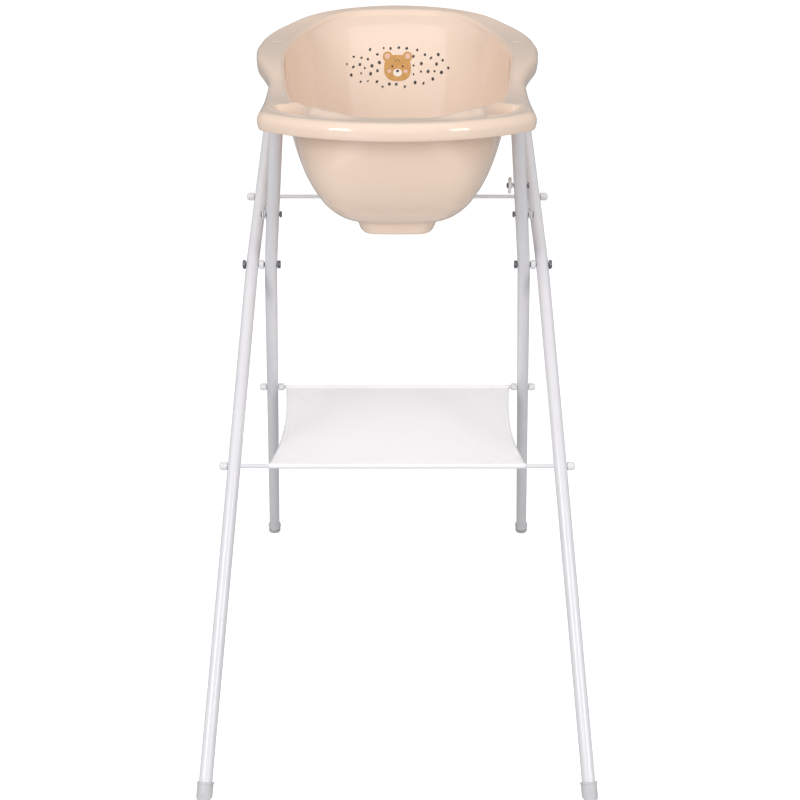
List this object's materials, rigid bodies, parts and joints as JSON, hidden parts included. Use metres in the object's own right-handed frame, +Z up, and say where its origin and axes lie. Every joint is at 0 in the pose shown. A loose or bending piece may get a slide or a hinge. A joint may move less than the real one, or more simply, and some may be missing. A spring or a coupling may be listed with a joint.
{
  "type": "baby bath on folding stand",
  "caption": "Baby bath tub with a raised head end, resting on a folding scissor-leg tube stand with slotted stays and a fabric shelf.",
  "frame": {"origin": "on the floor, under the middle of the stand's pivot axis, which is the centre of the footprint", "axes": "+Z up, +X to the right seen from the tub's foot end, +Y towards the tub's raised head end; the pivot axis lies along X"},
  "size_m": [0.651, 1.0128, 1.16],
  "materials": {
    "leg_paint": "semi-gloss white powder coat",
    "rod_paint": "satin white paint",
    "stay_paint": "white paint on flat steel strip",
    "fastener_steel": "dark zinc plated",
    "white_plastic": "satin moulded white",
    "foot_rubber": "pale grey-white rubber",
    "shelf_fabric": "white coated woven fabric",
    "tub_plastic": "glossy pale peach moulded plastic"
  },
  "bodies": {
    "outer_frame": {"front_hem": "shelf_fabric", "front_rod_caps": "white_plastic", "front_shelf_rod": "rod_paint", "outer_foot_left": "foot_rubber", "outer_foot_right": "foot_rubber", "outer_leg_left": "leg_paint", "outer_leg_right": "leg_paint", "outer_plug_left": "white_plastic", "outer_plug_right": "white_plastic", "pivot_bolt_left": "fastener_steel", "pivot_bolt_right": "fastener_steel", "pivot_nut_left": "fastener_steel", "pivot_nut_right": "fastener_steel", "pivot_spacer_left": "white_plastic", "pivot_spacer_right": "white_plastic", "shelf_panel": "shelf_fabric", "stay_inner_washers": "white_plastic", "stay_outer_washers": "white_plastic", "upper_rod": "rod_paint", "upper_rod_caps": "white_plastic"},
    "inner_frame": {"catch_bush": "white_plastic", "catch_nut": "fastener_steel", "catch_screw": "fastener_steel", "inner_foot_left": "foot_rubber", "inner_foot_right": "foot_rubber", "inner_leg_left": "leg_paint", "inner_leg_right": "leg_paint", "inner_plug_left": "white_plastic", "inner_plug_right": "white_plastic", "rear_hem": "shelf_fabric", "rear_rod_caps": "white_plastic", "rear_rod_collars": "white_plastic", "rear_shelf_rod": "rod_paint", "stay_bush_left": "white_plastic", "stay_bush_right": "white_plastic", "stay_nut_left": "fastener_steel", "stay_nut_right": "fastener_steel", "stay_stud_left": "fastener_steel", "stay_stud_right": "fastener_steel"},
    "stay_left": {"stay_left": "stay_paint"},
    "stay_right": {"stay_right": "stay_paint"},
    "turn_catch": {"turn_catch": "white_plastic"},
    "tub": {"tub_shell": "tub_plastic"}
  },
  "joints": [
    {"name": "stand_fold", "type": "hinge", "parent": "outer_frame", "child": "inner_frame", "pos_m": [0, 0, 0.758], "axis": [-1, 0, 0], "range_deg": [0, 57], "deforming": ["shelf_panel"]},
    {"name": "tub_lift", "type": "slide", "parent": "outer_frame", "child": "tub", "axis": [0, 0, 1], "range_m": [0, 0.41]},
    {"name": "left_stay_swing", "type": "hinge", "parent": "outer_frame", "child": "stay_left", "pos_m": [0, 0.06881, 0.8638], "axis": [-1, 0, 0], "range_deg": [0, 28.6]},
    {"name": "right_stay_swing", "type": "hinge", "parent": "outer_frame", "child": "stay_right", "pos_m": [0, 0.06881, 0.8638], "axis": [-1, 0, 0], "range_deg": [0, 28.6]},
    {"name": "turn_catch_swing", "type": "hinge", "parent": "inner_frame", "child": "turn_catch", "pos_m": [0.20296, -0.10601, 0.921], "axis": [1, 0, 0], "range_deg": [-90, 90]}
  ],
  "couplings": [
    {"joint": "tub_lift", "follows": "stand_fold", "m_per_rad": 0.41},
    {"joint": "left_stay_swing", "follows": "stand_fold", "ratio": 0.5},
    {"joint": "right_stay_swing", "follows": "stand_fold", "ratio": 0.5}
  ]
}
